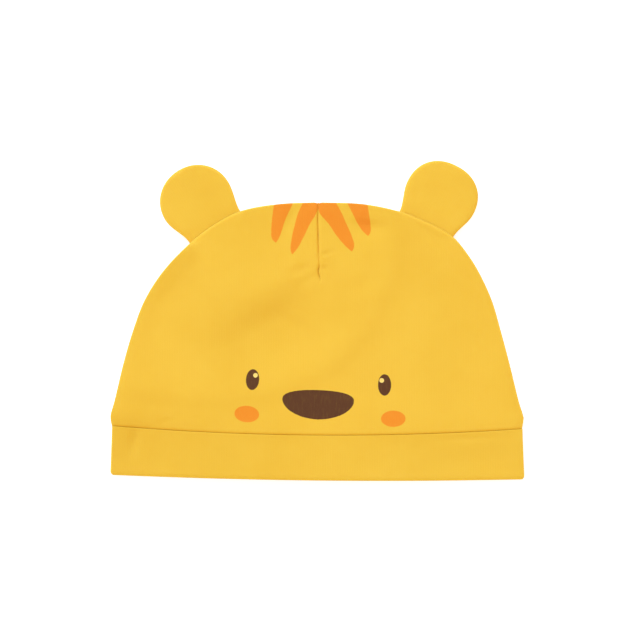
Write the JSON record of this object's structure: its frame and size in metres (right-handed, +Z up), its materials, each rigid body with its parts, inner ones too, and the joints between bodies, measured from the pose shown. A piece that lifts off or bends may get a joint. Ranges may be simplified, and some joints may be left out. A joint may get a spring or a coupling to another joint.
{
  "type": "animal ear hat",
  "caption": "Soft baby hat with round ears standing on a domed crown, a folded rim band and a printed animal face, laid flat on its back.",
  "frame": {"origin": "bottom centre of the hat as it lies on its back, on the table's surface", "axes": "+X across the hat from its left ear to its right as seen from above, +Y from the rim to the top of the crown, +Z up out of the table through the printed front"},
  "size_m": [0.2015, 0.1555, 0.0108],
  "materials": {
    "printed_jersey": "matt cotton jersey, warm yellow, with a printed face and stripes",
    "jersey": "matt cotton jersey, warm yellow"
  },
  "bodies": {
    "root": {"crown_front": "printed_jersey", "crown_back": "jersey", "band": "jersey", "ear_left": "jersey", "ear_right": "jersey"}
  },
  "joints": []
}
